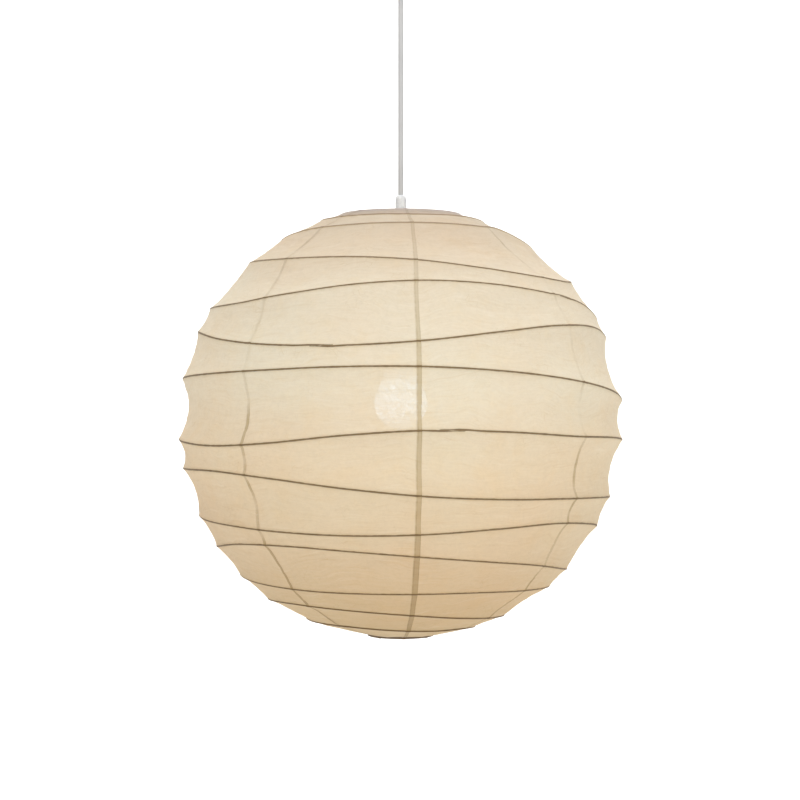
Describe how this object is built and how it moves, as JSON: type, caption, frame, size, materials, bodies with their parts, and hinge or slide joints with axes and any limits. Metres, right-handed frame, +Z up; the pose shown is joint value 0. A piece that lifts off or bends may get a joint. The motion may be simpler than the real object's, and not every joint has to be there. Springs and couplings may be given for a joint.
{
  "type": "paper lantern pendant",
  "caption": "Round ribbed paper lantern on a lead, with lampholder, screw lamp, wire stretcher and ceiling canopy.",
  "frame": {"origin": "on the ceiling face, on the pendant's axis", "axes": "+Z up, out of the ceiling bracket's back; -Y is the front, the side the picture shows; +X to its right"},
  "size_m": [0.4985, 0.5002, 0.7868],
  "materials": {
    "paper": "translucent washi with long fibres, glued in gores",
    "bamboo": "split bamboo strip",
    "ring_wire": "zinc-plated spring wire",
    "stretcher_wire": "zinc-plated spring steel",
    "lead_sheath": "pale grey PVC sheath",
    "grip_nylon": "translucent natural nylon",
    "white_plastic": "moulded white thermoplastic",
    "canopy_white": "white enamel",
    "bracket_steel": "zinc-plated pressed steel",
    "screw_steel": "zinc-plated",
    "tube_steel": "yellow-passivated threaded steel",
    "ceramic": "glazed steatite",
    "contact_brass": "bright brass",
    "lamp_nickel": "nickel-plated cap",
    "lamp_black": "black vitrite",
    "lamp_white": "white lamp housing",
    "lamp_opal": "opal diffuser, lit from inside",
    "circuit_green": "glass-fibre board",
    "led_white": "white-coated aluminium board"
  },
  "bodies": {
    "ceiling_mount": {"ceiling_bracket": "bracket_steel", "ceiling_canopy": "canopy_white", "canopy_screw_left": "screw_steel", "canopy_screw_right": "screw_steel", "terminal_block": "white_plastic", "lead_tail": "lead_sheath"},
    "outlet_ball": {"outlet_ball": "white_plastic"},
    "lead": {"lead": "lead_sheath"},
    "lantern": {"cord_grip": "grip_nylon", "grip_screw": "white_plastic", "threaded_tube": "tube_steel", "lead_inner": "lead_sheath", "lock_nut": "tube_steel", "holder_cap": "white_plastic", "holder_nut": "tube_steel", "holder_insert": "ceramic", "holder_shell": "white_plastic", "holder_centre_contact": "contact_brass", "holder_side_contact": "contact_brass", "stretcher_bar": "stretcher_wire", "top_ring": "ring_wire", "bottom_ring": "ring_wire", "rib_strip_01": "bamboo", "rib_strip_02": "bamboo", "rib_strip_03": "bamboo", "rib_strip_04": "bamboo", "rib_strip_05": "bamboo", "rib_strip_06": "bamboo", "rib_strip_07": "bamboo", "rib_strip_08": "bamboo", "rib_strip_09": "bamboo", "rib_strip_10": "bamboo", "rib_strip_11": "bamboo", "rib_strip_12": "bamboo", "rib_strip_13": "bamboo", "rib_strip_14": "bamboo", "paper_gore_1": "paper", "paper_gore_2": "paper", "paper_gore_3": "paper", "paper_gore_4": "paper", "paper_gore_5": "paper", "paper_gore_6": "paper", "paper_gore_7": "paper", "paper_gore_8": "paper"},
    "leg_left": {"stretcher_leg_left": "stretcher_wire"},
    "leg_right": {"stretcher_leg_right": "stretcher_wire"},
    "lamp_screw_travel": {"lamp_centre_contact": "lamp_nickel"},
    "lamp": {"lamp_insulator": "lamp_black", "lamp_cap": "lamp_nickel", "lamp_driver": "circuit_green", "lamp_housing": "lamp_white", "lamp_led_board": "led_white", "lamp_diffuser": "lamp_opal"}
  },
  "joints": [
    {"name": "pendant_swing_side", "type": "hinge", "parent": "outlet_ball", "child": "lead", "pos_m": [0, 0, -0.0432], "axis": [0, 1, 0], "range_deg": [-15, 15]},
    {"name": "pendant_swing_front", "type": "hinge", "parent": "ceiling_mount", "child": "outlet_ball", "pos_m": [0, 0, -0.0432], "axis": [1, 0, 0], "range_deg": [-15, 15]},
    {"name": "lead_twist", "type": "hinge", "parent": "lead", "child": "lantern", "pos_m": [0, 0, -0.298], "axis": [0, 0, 1], "range_deg": [-180, 180]},
    {"name": "leg_left_fold", "type": "hinge", "parent": "lantern", "child": "leg_left", "pos_m": [-0.058, 0, -0.3125], "axis": [0, -1, 0], "range_deg": [0, 2.8], "stiffness_Nm_per_rad": 0.6, "springref_deg": -2.01},
    {"name": "leg_right_fold", "type": "hinge", "parent": "lantern", "child": "leg_right", "pos_m": [0.058, 0, -0.3125], "axis": [0, 1, 0], "range_deg": [0, 2.8], "stiffness_Nm_per_rad": 0.6, "springref_deg": -2.01},
    {"name": "lamp_screw_out", "type": "slide", "parent": "lantern", "child": "lamp_screw_travel", "axis": [0, 0, -1], "range_m": [0, 0.027]},
    {"name": "lamp_turn", "type": "hinge", "parent": "lamp_screw_travel", "child": "lamp", "pos_m": [0, 0, -0.46], "axis": [0, 0, -1], "range_deg": [0, 2680.4]}
  ],
  "couplings": [
    {"joint": "lamp_turn", "follows": "lamp_screw_out", "rad_per_m": 1731.4}
  ]
}
